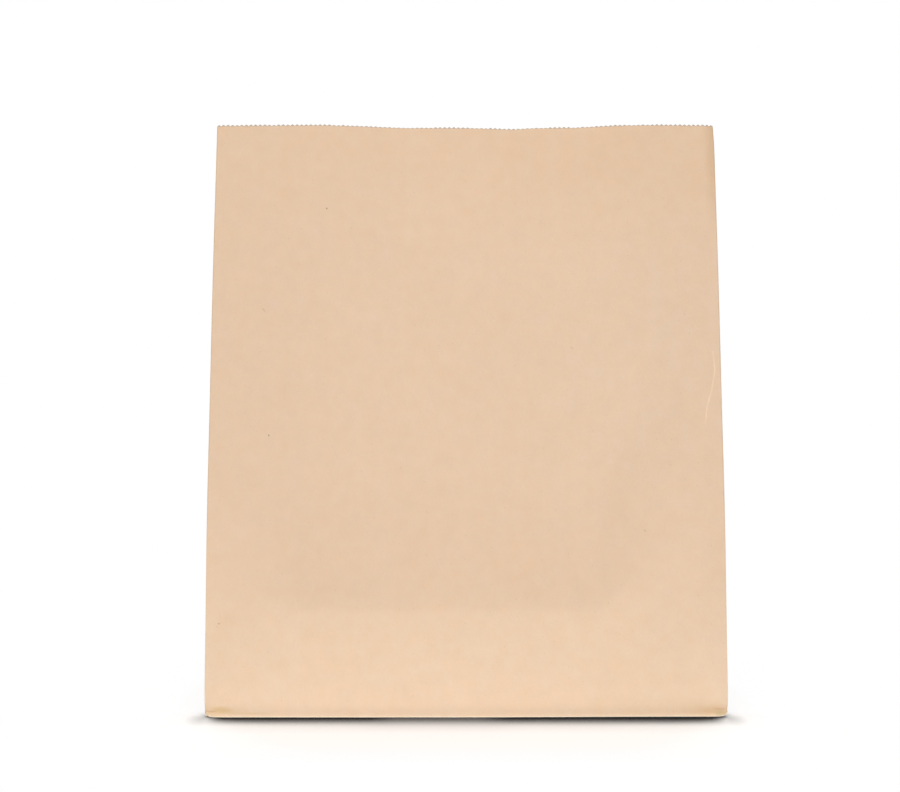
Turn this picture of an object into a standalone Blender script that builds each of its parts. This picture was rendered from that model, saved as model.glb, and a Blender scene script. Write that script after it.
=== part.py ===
"""Block-bottom kraft paper bag with side gussets, standing on its base with the mouth a little open.

The bag is one folded sheet: a glued tube of two wide faces and two side gussets, whose lower end is folded
and glued into a flat rectangular bottom. The mouth is cut with a row of small teeth.
Metres, +Z up, front face towards -Y. The origin is the centre of the bottom, on the surface it stands on.
"""

import math

import bmesh
import bpy
from mathutils import Vector

# Sizes of the folded sheet
FACE_WIDTH = 0.320
GUSSET_WIDTH = 0.130
FACE_HEIGHT = 0.375
PAPER = 0.00015

# Glued laps
SEAM_LAP = 0.020
SEAM_FROM_EDGE = 0.060
SEAM_FADE = 0.005
BOTTOM_LAP = 0.025

# Blunt corners of the folded bottom
CORNER_WIDTH = 0.0040
CORNER_RISE = 0.0032

# Cut at the mouth
TOOTH_PITCH = 0.003
TOOTH_DEPTH = 0.0011

# How the opened bag stands
MOUTH_DEPTH = 0.032
BOTTOM_LEAN = math.radians(3.2)
FOLD_DENT = 0.003
FRONT_BOW = 0.0032
FRONT_RIPPLE = 0.0043
BACK_BOW = 0.0030

# Fineness of the faces
FACE_COLUMNS = 12
FOLD_COLUMNS = 3
UPPER_ROWS = 8
MOST_LAYERS = 3

# Kraft paper
KRAFT_COLOUR = (0.79, 0.58, 0.40, 1.0)
KRAFT_ROUGHNESS = 0.85

HALF_WIDTH = FACE_WIDTH / 2
HALF_GUSSET = GUSSET_WIDTH / 2
TOOTH_ROOT = FACE_HEIGHT - TOOTH_DEPTH
FOLD_STEP = HALF_GUSSET / FOLD_COLUMNS
UPPER_STEP = (TOOTH_ROOT - HALF_GUSSET) / UPPER_ROWS


def clear_scene():
    """Remove whatever the scene holds."""
    for thing in list(bpy.data.objects):
        bpy.data.objects.remove(thing, do_unlink=True)


def side_fold(v):
    """(half the bag's depth, height) of a face's side fold, v along the paper from the bottom.

    The face bends evenly, as an arc, from its lean at the bottom to its lean at the mouth.
    """
    mean_lean = math.asin((HALF_GUSSET - MOUTH_DEPTH / 2) / FACE_HEIGHT)
    turn = 2 * (mean_lean - BOTTOM_LEAN) * v / FACE_HEIGHT
    chord = v * (math.sin(turn / 2) / (turn / 2) if turn else 1.0)
    lean = BOTTOM_LEAN + turn / 2
    return HALF_GUSSET - chord * math.sin(lean), chord * math.cos(lean)


def gusset_point():
    """(inset, height) of the point where the gusset's centre crease meets its two slanting creases.

    It lies half a gusset from the bottom edge and half a gusset from the face's side fold.
    """
    depth, height = side_fold(HALF_GUSSET)
    up = (depth**2 + height**2) / (2 * height)
    return math.sqrt(HALF_GUSSET**2 - up**2), up


def centre_crease():
    """(inset, height) of the gusset's centre crease, row by row from the gusset point to the mouth.

    The paper doesn't stretch: the crease keeps its own length, and its distance to the side fold.
    """
    inset, height = gusset_point()
    found = [(inset, height)]
    for row in range(UPPER_ROWS):
        below = HALF_GUSSET + UPPER_STEP * row
        drop = side_fold(below)[1] - height
        next_inset = math.sqrt(HALF_GUSSET**2 - side_fold(below + UPPER_STEP)[0] ** 2 - drop**2)
        height += math.sqrt(UPPER_STEP**2 - (next_inset - inset) ** 2)
        inset = next_inset
        found.append((inset, height))
    return found


CENTRE_CREASE = centre_crease()


def crease_point(v):
    """(inset, height) of the gusset's centre crease at v, which is no lower than the gusset point."""
    row = (v - HALF_GUSSET) / UPPER_STEP
    low = min(int(row + 1e-6), UPPER_ROWS - 1)
    (inset, height), (next_inset, next_height) = CENTRE_CREASE[low : low + 2]
    share = row - low
    return inset + (next_inset - inset) * share, height + (next_height - height) * share


def front_dent(s, v):
    """How far the front face lies inside the plane of its side folds.

    A valley stays where the flat bag was folded, and the mouth bows in with a ripple on each side.
    """
    across = math.pi * s / FACE_WIDTH
    above = v - HALF_GUSSET
    mouth_share = max(above, 0.0) / (FACE_HEIGHT - HALF_GUSSET)
    fold_share = v / HALF_GUSSET if above < 0 else max(1 - 2 * mouth_share, 0.0)
    mouth = FRONT_BOW * math.cos(across) + FRONT_RIPPLE * math.cos(3 * across)
    return FOLD_DENT * math.cos(across) * fold_share + mouth * mouth_share**2


def back_dent(s, v):
    """How far the back face lies inside the plane of its side folds."""
    return BACK_BOW * math.cos(math.pi * s / FACE_WIDTH) * (v / FACE_HEIGHT) ** 2


def seam_layers(s):
    """Layers of paper in the back face at s: two where the tube's glued seam laps, and one beside it."""
    into = HALF_WIDTH - SEAM_FROM_EDGE - s
    if into <= 0 or into >= SEAM_LAP + SEAM_FADE:
        return 1.0
    rise = min(into / PAPER, 1.0)
    fall = min((SEAM_LAP + SEAM_FADE - into) / SEAM_FADE, 1.0)
    return 1.0 + min(rise, fall)


def front_line(s):
    """The front face's upright line at s, as a function of v."""

    def at(v):
        depth, height = side_fold(v)
        return Vector((s, front_dent(s, v) - depth, height))

    return at


def back_line(s):
    """The back face's upright line at s, as a function of v. It stands on the inner bottom flap."""

    def at(v):
        depth, height = side_fold(v)
        lap = PAPER * (seam_layers(s) - 1)
        lift = PAPER * max(1 - v / HALF_GUSSET, 0.0)
        return Vector((s, depth - back_dent(s, v) + lap, height + lift))

    return at


def gusset_line(side, face, g):
    """An upright line of a gusset as a function of v, at g from the side fold of the face it is next to.

    side is 1 for the right gusset and -1 for the left. face is -1 for the front and 1 for the back.
    Below the gusset point are one large leaning triangle and two small ones beside the side folds.
    """
    point_inset, point_height = gusset_point()
    share = g / HALF_GUSSET

    def at(v):
        if v >= HALF_GUSSET:
            depth, height = side_fold(v)
            crease_inset, crease_height = crease_point(v)
            inset, y = crease_inset * share, depth * (1 - share)
            height += (crease_height - height) * share
        elif v > g:
            depth, height = side_fold(v - g)
            inset, y = point_inset * share, depth - g
            height += point_height * share
        else:
            up = v / HALF_GUSSET
            inset, y = point_inset * up, HALF_GUSSET - g
            height = point_height * up + 2 * PAPER * (1 - up)
        return Vector((side * (HALF_WIDTH - inset), face * y, height))

    return at


def face_places():
    """Even places across a face, from left to right."""
    return [FACE_WIDTH * (i / FACE_COLUMNS - 0.5) for i in range(FACE_COLUMNS + 1)]


def back_places():
    """Places across the back face from right to left, with the seam's own edges among them."""
    start = HALF_WIDTH - SEAM_FROM_EDGE
    seam = [start, start - PAPER, start - SEAM_LAP, start - SEAM_LAP - SEAM_FADE]
    even = [s for s in face_places() if all(abs(s - edge) > SEAM_FADE / 2 for edge in seam)]
    return sorted(even + seam, reverse=True)


def gusset_places():
    """(face, g) of a gusset's upright lines between its side folds, from the front to the back."""
    steps = [FOLD_STEP * i for i in range(1, FOLD_COLUMNS)]
    return [(-1, g) for g in steps] + [(-1, HALF_GUSSET)] + [(1, g) for g in reversed(steps)]


class Sheet:
    """The outer skin of the bag as triangles, with the number of paper layers behind each point."""

    def __init__(self):
        self.mesh = bmesh.new()
        self.layers = []

    def point(self, place, layers=1.0):
        """Add a point."""
        self.layers.append(layers)
        return self.mesh.verts.new(place)

    def face(self, corners, side=1):
        """Add a face whose corners run anticlockwise seen from outside, or clockwise if side is -1."""
        return self.mesh.faces.new(corners if side > 0 else corners[::-1])

    def fan(self, line, pair, side=1):
        """Join a line of points above a pair of points to the pair, or below it if side is -1."""
        middle = len(line) // 2
        for first, second in zip(line[:middle], line[1 : middle + 1]):
            self.face([pair[0], second, first], side)
        self.face([pair[0], pair[1], line[middle]], side)
        for first, second in zip(line[middle:], line[middle + 1 :]):
            self.face([pair[1], second, first], side)

    def crease(self, line):
        """Mark the edges along a line of points as a fold."""
        for pair in zip(line, line[1:]):
            self.mesh.edges.get(pair).smooth = False

    def object(self, name):
        """Turn the skin into an object, with each point's share of the most layers as a vertex group."""
        for edge in self.mesh.edges:
            if edge.is_boundary:
                edge.smooth = False
        bmesh.ops.triangulate(self.mesh, faces=self.mesh.faces[:])
        for face in self.mesh.faces:
            face.smooth = True
        data = bpy.data.meshes.new(name)
        self.mesh.to_mesh(data)
        self.mesh.free()
        made = bpy.data.objects.new(name, data)
        bpy.context.scene.collection.objects.link(made)
        group = made.vertex_groups.new(name="layers")
        for index, layers in enumerate(self.layers):
            group.add([index], layers / MOST_LAYERS, "REPLACE")
        return made


class Walls:
    """The upright walls, as lines of points once round the bag from the front's left side fold."""

    def __init__(self, sheet):
        self.sheet = sheet
        front = [(front_line(s), 1.0) for s in face_places()]
        back = [(back_line(s), seam_layers(s)) for s in back_places()]
        right = [(gusset_line(1, face, g), 1.0) for face, g in gusset_places()]
        left = [(gusset_line(-1, face, g), 1.0) for face, g in reversed(gusset_places())]
        self.lines = front + right + back + left
        self.count = len(self.lines)
        self.folds = [0, len(front) - 1, len(front + right), len(front + right + back) - 1]
        self.centres = [self.folds[1] + FOLD_COLUMNS, self.folds[3] + FOLD_COLUMNS]
        rows = [FOLD_STEP * i for i in range(FOLD_COLUMNS)]
        rows += [HALF_GUSSET + UPPER_STEP * i for i in range(UPPER_ROWS + 1)]
        self.grid = [[sheet.point(at(v), layers) for at, layers in self.lines] for v in rows]
        self.foot_lines = [self.foot_line(j, k) for j, k in self.pairs()]
        for j in self.folds:
            self.grid[0][j].co.z += CORNER_RISE

    def pairs(self):
        """Each line's number and that of the next one round the bag."""
        return [(j, (j + 1) % self.count) for j in range(self.count)]

    def foot_line(self, j, k):
        """The bottom edge from line j to line k, with a foot beside the blunt corner at a side fold."""
        start, end = self.grid[0][j], self.grid[0][k]
        length = (end.co - start.co).length
        middle = []
        if j in self.folds:
            middle.append(self.sheet.point(start.co.lerp(end.co, CORNER_WIDTH / length)))
        if k in self.folds:
            middle.append(self.sheet.point(end.co.lerp(start.co, CORNER_WIDTH / length)))
        return [start, *middle, end]

    def past_centre(self, j):
        """Whether the strip after line j is the second half of a gusset, whose slanting crease runs down."""
        return self.centres[0] <= j < self.folds[2] or self.centres[1] <= j

    def make_bands(self):
        """The walls from the bottom to the last row below the teeth."""
        for level, (low, high) in enumerate(zip(self.grid, self.grid[1:-1])):
            for j, k in self.pairs():
                if level == 0 and len(self.foot_lines[j]) > 2:
                    self.sheet.fan(self.foot_lines[j], [high[j], high[k]], -1)
                elif self.past_centre(j):
                    self.sheet.face([low[j], low[k], high[j]])
                    self.sheet.face([low[k], high[k], high[j]])
                else:
                    self.sheet.face([low[j], low[k], high[k]])
                    self.sheet.face([low[j], high[k], high[j]])

    def make_mouth(self):
        """The walls' top band, whose upper edge is cut into teeth."""
        low, roots = self.grid[-2], self.grid[-1]
        for j, k in self.pairs():
            (here, here_layers), (there, there_layers) = self.lines[j], self.lines[k]
            teeth = round((roots[k].co - roots[j].co).length / TOOTH_PITCH)
            layers = (here_layers + there_layers) / 2
            base = [roots[j]]
            for tooth in range(teeth):
                tip = here(FACE_HEIGHT).lerp(there(FACE_HEIGHT), (tooth + 0.5) / teeth)
                root = roots[j].co.lerp(roots[k].co, (tooth + 1) / teeth)
                last = tooth == teeth - 1
                base.append(roots[k] if last else self.sheet.point(root, layers))
                self.sheet.face([base[-2], base[-1], self.sheet.point(tip, layers)])
            self.sheet.fan(base if teeth else [roots[j], roots[k]], [low[j], low[k]])

    def mark_folds(self):
        """Mark the side folds, the centre creases, the slanting creases and the front's cross fold."""
        for j in self.folds + self.centres:
            self.sheet.crease([row[j] for row in self.grid])
        for centre in self.centres:
            for turn in (-1, 1):
                across = [(centre + turn * (FOLD_COLUMNS - i)) % self.count for i in range(FOLD_COLUMNS + 1)]
                foot = self.foot_lines[across[0] if turn < 0 else across[1]][1]
                slant = [row[j] for row, j in zip(self.grid[1:], across[1:])]
                self.sheet.crease([foot, *slant])
        fold_row = self.grid[FOLD_COLUMNS]
        self.sheet.crease([fold_row[j] for j in range(-FOLD_COLUMNS, self.centres[0] + 1)])

    def bottom_side(self, first, last):
        """The bottom edge from the corner at line first to the corner at line last."""
        points = [self.grid[0][first]]
        for line in self.foot_lines[first:last]:
            points += line[1:]
        return points


def make_end(sheet, side, edge, near_foot, far_foot):
    """One end of the folded bottom, side 1 on the right and -1 on the left.

    edge runs from the front corner to the back corner, and the feet are on the front and back edges.
    Returns the end points of the outer flap's and the inner flap's free edges.
    """
    apex, half_lap = HALF_WIDTH - HALF_GUSSET, BOTTOM_LAP / 2
    outer = sheet.point((side * apex, 0, 0), 3)
    inner = sheet.point((side * (apex + PAPER), PAPER, PAPER), 2)
    end = sheet.point((side * (apex + 3 * PAPER), 0, 2 * PAPER), 1)
    outer_tip = sheet.point((side * (apex - half_lap), half_lap, 0), 3)
    inner_tip = sheet.point((side * (apex - half_lap + PAPER), half_lap + PAPER, PAPER), 2)
    for first, second in zip(edge, edge[1:]):
        sheet.face([first, second, end], -side)
    sheet.face([near_foot, edge[0], outer], -side)
    sheet.face([edge[0], end, outer], -side)
    sheet.face([outer, end, inner], -side)
    sheet.face([edge[-1], inner, end], -side)
    sheet.face([edge[-1], far_foot, inner], -side)
    sheet.face([outer, inner, inner_tip, outer_tip], -side)
    return (outer, outer_tip), (inner, inner_tip)


def make_bottom(sheet, walls):
    """The folded bottom: two end triangles, the inner flap, and the outer flap that laps over it."""
    bounds = [*walls.folds, walls.count]
    front, right, back, left = (walls.bottom_side(*pair) for pair in zip(bounds, bounds[1:]))
    right_outer, right_inner = make_end(sheet, 1, right, front[-2], back[1])
    left_outer, left_inner = make_end(sheet, -1, left[::-1], front[1], back[-2])
    sheet.face([right_outer[1], right_inner[1], left_inner[1], left_outer[1]], -1)
    sheet.face([*front[1:-1], *right_outer, *left_outer[::-1]], -1)
    sheet.face([*back[1:-1], *left_inner, *right_inner[::-1]], -1)
    for side in (front, right, back, left):
        sheet.crease(side)


def kraft_paper():
    """Plain unbleached kraft paper."""
    made = bpy.data.materials.new("kraft_paper")
    made.use_nodes = True
    made.diffuse_color = KRAFT_COLOUR
    shader = made.node_tree.nodes["Principled BSDF"]
    shader.inputs["Base Color"].default_value = KRAFT_COLOUR
    shader.inputs["Roughness"].default_value = KRAFT_ROUGHNESS
    shader.inputs["Metallic"].default_value = 0.0
    return made


def make_bag():
    """The whole bag as one closed body, its paper laid inwards from the outer skin."""
    sheet = Sheet()
    walls = Walls(sheet)
    walls.make_bands()
    walls.make_mouth()
    walls.mark_folds()
    make_bottom(sheet, walls)
    bag = sheet.object("bag")
    bag.data.materials.append(kraft_paper())
    thickness = bag.modifiers.new("paper thickness", "SOLIDIFY")
    thickness.thickness = MOST_LAYERS * PAPER
    thickness.vertex_group = "layers"
    thickness.offset = -1
    thickness.use_even_offset = True
    thickness.use_quality_normals = True
    return bag


clear_scene()
make_bag()
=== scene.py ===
"""The looks of a block-bottom kraft paper bag: its folded sheet, its toothed mouth and its kraft paper.

The sheet is worked out on flat paper first. u runs once round the paper tube from the front face's left
side fold, and v runs up from the bottom edge, both in metres. The fold map then carries each (u, v) to its
place on the standing bag, in the frame's metres with +Z up and the front face towards -Y.
"""

import logging
import math
from collections.abc import Iterator, Sequence
from dataclasses import dataclass, field
from enum import Enum
from functools import cached_property

import bmesh
import bpy
import numpy as np
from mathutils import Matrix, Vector


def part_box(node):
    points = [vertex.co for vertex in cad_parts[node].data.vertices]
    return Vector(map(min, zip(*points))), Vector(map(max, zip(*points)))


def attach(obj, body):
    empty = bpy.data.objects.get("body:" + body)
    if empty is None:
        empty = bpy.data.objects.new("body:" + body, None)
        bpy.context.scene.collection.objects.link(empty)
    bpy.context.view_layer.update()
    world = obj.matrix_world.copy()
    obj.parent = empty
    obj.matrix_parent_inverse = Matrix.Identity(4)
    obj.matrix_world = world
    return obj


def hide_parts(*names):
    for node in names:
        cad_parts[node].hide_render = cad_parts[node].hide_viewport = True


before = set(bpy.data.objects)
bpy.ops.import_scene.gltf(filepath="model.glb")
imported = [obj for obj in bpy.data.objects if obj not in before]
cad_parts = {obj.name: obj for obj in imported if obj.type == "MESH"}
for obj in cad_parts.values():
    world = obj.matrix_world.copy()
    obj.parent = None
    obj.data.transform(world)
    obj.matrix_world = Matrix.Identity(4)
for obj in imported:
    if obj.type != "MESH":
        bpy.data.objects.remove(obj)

LOG = logging.getLogger("paper_bag")
MM = 0.001
NODE = "bag"
BODY = "root"
PAPER_MAP = "paper"
CLOSE = 1e-6
DIGITS = 7
FAR_AWAY = 1000.0


class Half(Enum):
    """Which face of the bag a place on the sheet belongs to or leans towards."""

    FRONT = -1
    BACK = 1


def smooth_step(x: np.ndarray | float) -> np.ndarray:
    """Ease from 0 at x = 0 to 1 at x = 1, flat at both ends."""
    t = np.clip(x, 0.0, 1.0)
    return t * t * (3 - 2 * t)


@dataclass(frozen=True)
class FoldMap:
    """Where each place on the flat sheet lies on the standing bag.

    The lengths are those of the paper, so the map keeps them: a gusset's centre crease stays half a gusset
    from the side folds, whatever the faces' lean.
    """

    face_width: float
    gusset_width: float
    face_height: float = 374.6 * MM
    paper: float = 0.15 * MM
    table_step: float = 0.5 * MM

    # The faces' lean, and their swell between the straight side folds
    low_lean: float = math.radians(4.4)
    high_lean: float = math.radians(8.87)
    bend_height: float = 120 * MM
    bend_length: float = 84 * MM
    belly_reach: float = 80 * MM

    # How far the side folds bow outwards, and the tuck at the front's top right
    side_swell: float = 0.22
    side_reach: float = 60 * MM
    foot_swell: float = 0.5 * MM
    foot_reach: float = 40 * MM
    shoulder_swell: float = 0.30 * MM
    shoulder_place: float = 275 * MM
    shoulder_reach: float = 75 * MM
    tuck: float = 0.50 * MM
    tuck_height: float = 16 * MM
    tuck_reach: float = 12 * MM

    # The valley across the front face, where the flat bag was folded
    fold_dent: float = 4.1 * MM
    fold_reach: float = 78 * MM
    fold_softness: float = 2.2 * MM
    left_fade: tuple[float, float] = (26 * MM, 58 * MM)
    right_fade: tuple[float, float] = (4 * MM, 62 * MM)
    slant_start: float = 82 * MM
    slant_end: float = 155 * MM
    slant_rise: float = 61 * MM
    slant_ease: float = 1.8
    crease_band: float = 7 * MM
    crease_clear: float = 12 * MM
    crease_growth: float = 20 * MM

    # The mouth's dip, curl and nick
    curl: float = 1.0 * MM
    curl_place: float = 153 * MM
    curl_width: float = 4 * MM
    curl_start: float = 310 * MM
    mouth_dip: float = 10.2 * MM
    mouth_left: tuple[float, float] = (-96 * MM, 65 * MM)
    mouth_right: tuple[float, float] = (113 * MM, 55 * MM)
    mouth_swell: float = 3.5 * MM
    mouth_in: float = 0.5
    mouth_down: float = 0.095
    nick: float = 1.0 * MM
    nick_place: float = 31 * MM
    nick_reach: tuple[float, float] = (16 * MM, 8 * MM)

    # The back face with its lap seam, and the gussets
    back_bow: float = 3.0 * MM
    seam_place: float = 60 * MM
    seam_lap: float = 20 * MM
    seam_fade: float = 5 * MM
    gusset_belly: float = 1.6 * MM
    gusset_fade: float = 0.6
    gusset_turn: tuple[float, float] = (0.6, 0.5)

    # The pressed lip along the bottom, and how far the bottom edge is off the floor
    lip_depth: float = 0.55 * MM
    lip_height: float = 1.3 * MM
    lip_corner: float = 1.9 * MM
    lip_corner_reach: float = 15 * MM
    lip_corner_gain: float = 0.8
    lip_reach: float = 7.5 * MM
    lip_side: float = 0.4
    lip_ease: float = 6 * MM
    edge_lift: float = 0.50 * MM
    edge_start: float = 0.45
    edge_length: float = 0.50
    edge_height: float = 9 * MM
    corner_rise: float = 1.7 * MM
    corner_reach: float = 3.4 * MM
    corner_height: float = 5 * MM

    # How round the folds are
    fold_radius: float = 0.65 * MM
    corner_radius: float = 2.4 * MM
    bottom_radius: float = 0.9 * MM
    bottom_fade: float = 8 * MM

    @property
    def half_width(self) -> float:
        """Half the width of a face."""
        return self.face_width / 2

    @property
    def half_gusset(self) -> float:
        """Half the width of a gusset."""
        return self.gusset_width / 2

    @property
    def girth(self) -> float:
        """The length of paper once round the tube."""
        return 2 * (self.face_width + self.gusset_width)

    @property
    def folds(self) -> tuple[float, ...]:
        """The u of the four side folds, the first one met again at the end."""
        width, gusset = self.face_width, self.gusset_width
        return (0.0, width, width + gusset, 2 * width + gusset, self.girth)

    @property
    def centres(self) -> tuple[float, float]:
        """The u of the two gussets' centre creases."""
        return (self.folds[1] + self.half_gusset, self.folds[3] + self.half_gusset)

    @cached_property
    def table(self) -> dict[str, np.ndarray]:
        """The side fold and the centre crease, worked out step by step along v.

        Returns:
            Arrays over v: "depth" and "height" of the straight side folds, "belly" of the faces' middle
            beyond them, "inset" and "rise" of the gussets' centre crease.
        """
        v = np.arange(0.0, self.face_height * 1.1, self.table_step)
        half, step = self.half_gusset, self.table_step
        share = smooth_step((v - self.bend_height) / self.bend_length + 0.5)
        lean = self.low_lean + (self.high_lean - self.low_lean) * share
        bent = half - np.concatenate([[0], np.cumsum(np.sin(lean[:-1]))]) * step
        depth = half + (np.interp(self.face_height, v, bent) - half) * v / self.face_height
        height = np.concatenate([[0], np.cumsum(np.cos(lean[:-1]))]) * step
        inset, rise = np.zeros_like(v), np.zeros_like(v)
        start = int(round(half / step))
        rise[start] = (depth[start] ** 2 + height[start] ** 2) / (2 * height[start])
        inset[start] = math.sqrt(half**2 - rise[start] ** 2)
        inset[:start] = inset[start] * v[:start] / v[start]
        rise[:start] = rise[start] * v[:start] / v[start]
        for i in range(start, len(v) - 1):
            drop = height[i] - rise[i]
            inset[i + 1] = math.sqrt(max(half**2 - depth[i + 1] ** 2 - drop**2, 0.0))
            rise[i + 1] = rise[i] + math.sqrt(step**2 - (inset[i + 1] - inset[i]) ** 2)
        belly = bent - depth
        return {"v": v, "depth": depth, "height": height, "belly": belly, "inset": inset, "rise": rise}

    def at(self, name: str, v: np.ndarray) -> np.ndarray:
        """Read one of the table's columns at v."""
        return np.interp(v, self.table["v"], self.table[name])

    def belly(self, s: np.ndarray, v: np.ndarray) -> np.ndarray:
        """How far a face swells beyond the plane of its side folds, s across from its middle and v up."""
        return self.at("belly", v) * smooth_step((self.half_width - np.abs(s)) / self.belly_reach)

    def slant(self, s: np.ndarray) -> np.ndarray:
        """How far along the crease's slanting part each place across the face is, from 0 to 1."""
        return np.clip((s - self.slant_start) / (self.slant_end - self.slant_start), 0, 1)

    def crease_height(self, s: np.ndarray) -> np.ndarray:
        """The v of the crease across the front face, which slants up towards its right side."""
        return self.half_gusset + self.slant_rise * self.slant(s)

    def mouth_dent(self, s: np.ndarray) -> np.ndarray:
        """How deep the front face's bow at the mouth is: a broad dip between two swells.

        Args:
            s: Place across the face, from its middle.

        Returns:
            The depth, which front_dent and mouth_drop each take a share of.
        """
        left = smooth_step((s - self.mouth_left[0]) / self.mouth_left[1])
        right = smooth_step((self.mouth_right[0] - s) / self.mouth_right[1])
        swell = 1 - (np.abs(s) / self.half_width) ** 6
        return self.mouth_dip * left * right - self.mouth_swell * swell

    def mouth_drop(self, s: np.ndarray, v: np.ndarray) -> np.ndarray:
        """How far the front face's places drop near the mouth.

        Args:
            s: Place across the face, from its middle.
            v: Place up the face.

        Returns:
            The drop: a share of the bow, and a small nick in the edge.
        """
        share = v / self.face_height
        reach = np.where(s < self.nick_place, *self.nick_reach)
        nick = self.nick * np.exp(-(((s - self.nick_place) / reach) ** 2)) * share**40
        return self.mouth_down * self.mouth_dent(s) * share**6 + nick

    def front_dent(self, s: np.ndarray, v: np.ndarray) -> np.ndarray:
        """How far the front face lies inside the plane of its side folds.

        Args:
            s: Place across the face, from its middle.
            v: Place up the face.

        Returns:
            The dent: a valley where the flat bag was folded, and the mouth's bow and ripple.
        """
        fade = np.where(s[..., None] < 0, self.left_fade, self.right_fade)
        edge = smooth_step((self.half_width - np.abs(s) - fade[..., 0]) / (fade[..., 1] - fade[..., 0]))
        crease = self.crease_height(s)
        past = np.clip((v - crease) / (self.fold_reach * (1 + self.slant_ease * self.slant(s))), 0, 1)
        valley = self.fold_dent * edge * np.where(v < crease, v / crease, (1 - past) ** 1.5)
        high = smooth_step((v - self.curl_start) / (self.face_height - self.curl_start))
        curl = self.curl * high * np.exp(-(((s - self.curl_place) / self.curl_width) ** 2))
        share = np.clip((v - self.half_gusset) / (self.face_height - self.half_gusset), 0, None) ** 2
        return valley - curl + self.mouth_in * self.mouth_dent(s) * share - self.belly(s, v)

    def back_dent(self, s: np.ndarray, v: np.ndarray) -> np.ndarray:
        """How far the back face lies inside the plane of its side folds.

        Args:
            s: Place across the face, from its middle.
            v: Place up the face.

        Returns:
            The dent: the face's bow towards the mouth, less the lap seam's extra layer.
        """
        bow = self.back_bow * np.cos(np.pi * s / self.face_width) * (v / self.face_height) ** 2
        into = self.half_width - self.seam_place - s
        rise = np.clip(into / self.paper, 0, 1)
        fall = np.clip((self.seam_lap + self.seam_fade - into) / self.seam_fade, 0, 1)
        return bow - self.belly(s, v) - self.paper * np.minimum(rise, fall)

    def gusset(self, side: np.ndarray, face: np.ndarray, g: np.ndarray, v: np.ndarray) -> np.ndarray:
        """Places on a gusset.

        Args:
            side: 1 for the right gusset, -1 for the left.
            face: The half's sign, as in Half.
            g: Distance from the side fold of that half's face.
            v: Place up the gusset.

        Returns:
            An array of points.
        """
        half = self.half_gusset
        share = g / half
        # Three parts: above the slanting creases, between a side fold and one of them, and under it
        point = np.full_like(v, half)
        point_inset, point_rise = self.at("inset", point), self.at("rise", point)
        upper_inset = self.at("inset", v) * share
        upper_y = self.at("depth", v) * (1 - share)
        upper_z = self.at("height", v) + (self.at("rise", v) - self.at("height", v)) * share
        slant = np.clip(v - g, 0, None)
        middle_inset, middle_y = point_inset * share, self.at("depth", slant) - g
        middle_z = self.at("height", slant) + point_rise * share
        low_inset, low_y, low_z = point_inset * v / half, half - g, point_rise * v / half
        upper, middle = v >= half, v > g
        inset = np.where(upper, upper_inset, np.where(middle, middle_inset, low_inset))
        y = np.where(upper, upper_y, np.where(middle, middle_y, low_y))
        z = np.where(upper, upper_z, np.where(middle, middle_z, low_z))
        swell = np.sin(np.pi * np.clip(share, 0, 1)) * smooth_step((v - half) / half)
        belly = self.gusset_belly * swell * (1 - self.gusset_fade * v / self.face_height)
        inset = inset - belly * self.gusset_turn[0]
        y = y - belly * self.gusset_turn[1]
        return np.stack([side * (self.half_width - inset), face * y, z], axis=-1)

    def sharp(self, u: np.ndarray, v: np.ndarray) -> np.ndarray:
        """Places on the bag with knife-edge folds.

        Args:
            u: Places round the tube.
            v: Places up the tube, or below 0 for the rim of the folded bottom.

        Returns:
            An array of points.
        """
        u, v = np.broadcast_arrays(np.mod(u, self.girth), v)
        _, second, third, fourth, _ = self.folds
        up, under = np.clip(v, 0, None), np.clip(-v, 0, None)
        front, back = u <= second, (u >= third) & (u <= fourth)
        right = (u > second) & (u < third)
        s = np.where(front, u - self.half_width, third + self.half_width - u)
        face = np.where(front, Half.FRONT.value, Half.BACK.value)
        dent = np.where(front, self.front_dent(s, up), self.back_dent(s, up))
        drop = np.where(front, self.mouth_drop(s, up), 0.0)
        flat = np.stack([s, face * (self.at("depth", up) - dent), self.at("height", up) - drop], axis=-1)
        along = np.where(right, u - second, u - fourth)
        near = along <= self.half_gusset
        g = np.where(near, along, self.gusset_width - along)
        side = np.where(right, 1.0, -1.0)
        fold = self.gusset(side, np.where(right == near, -1.0, 1.0), g, up)
        place = np.where((front | back)[..., None], flat, fold)
        limit_x, limit_y = self.half_width - under, self.half_gusset - under
        lip = self.lip(u, up)
        inside = self.fold_distance(u) * np.where(front | back, 1.0, -1.0)
        turn_x = smooth_step((self.lip_ease - inside) / self.lip_ease) * (1 - self.corner_share(u))
        lip_x = self.lip_side * lip * turn_x
        lip_y = lip * smooth_step((self.lip_ease + inside) / self.lip_ease)
        x, y = place[..., 0], place[..., 1]
        x = x + np.sign(x) * self.side_bow(u, up)
        limit_x = np.where(v < 0, limit_x, np.inf)
        place[..., 0] = np.clip(x - np.sign(x) * lip_x, -limit_x, limit_x)
        place[..., 1] = np.clip(y - np.clip(y / lip.clip(MM), -1, 1) * lip_y, -limit_y, limit_y)
        return place

    def side_bow(self, u: np.ndarray, v: np.ndarray) -> np.ndarray:
        """How far the side folds bow outwards.

        Args:
            u: Places round the tube.
            v: Places up the tube.

        Returns:
            The bow, less the tuck at the top of the front's right fold.
        """
        foot = self.foot_swell * np.exp(-v / self.foot_reach)
        shoulder = self.shoulder_swell * np.exp(-(((v - self.shoulder_place) / self.shoulder_reach) ** 2))
        swell = self.side_swell * self.at("belly", v) + foot + shoulder
        high = smooth_step((v - self.face_height + self.tuck_height) / self.tuck_height)
        tuck = self.tuck * high * np.exp(-(((u - self.folds[1]) / self.tuck_reach) ** 2))
        return swell * (1 - smooth_step(self.fold_distance(u) / self.side_reach)) - tuck

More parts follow.
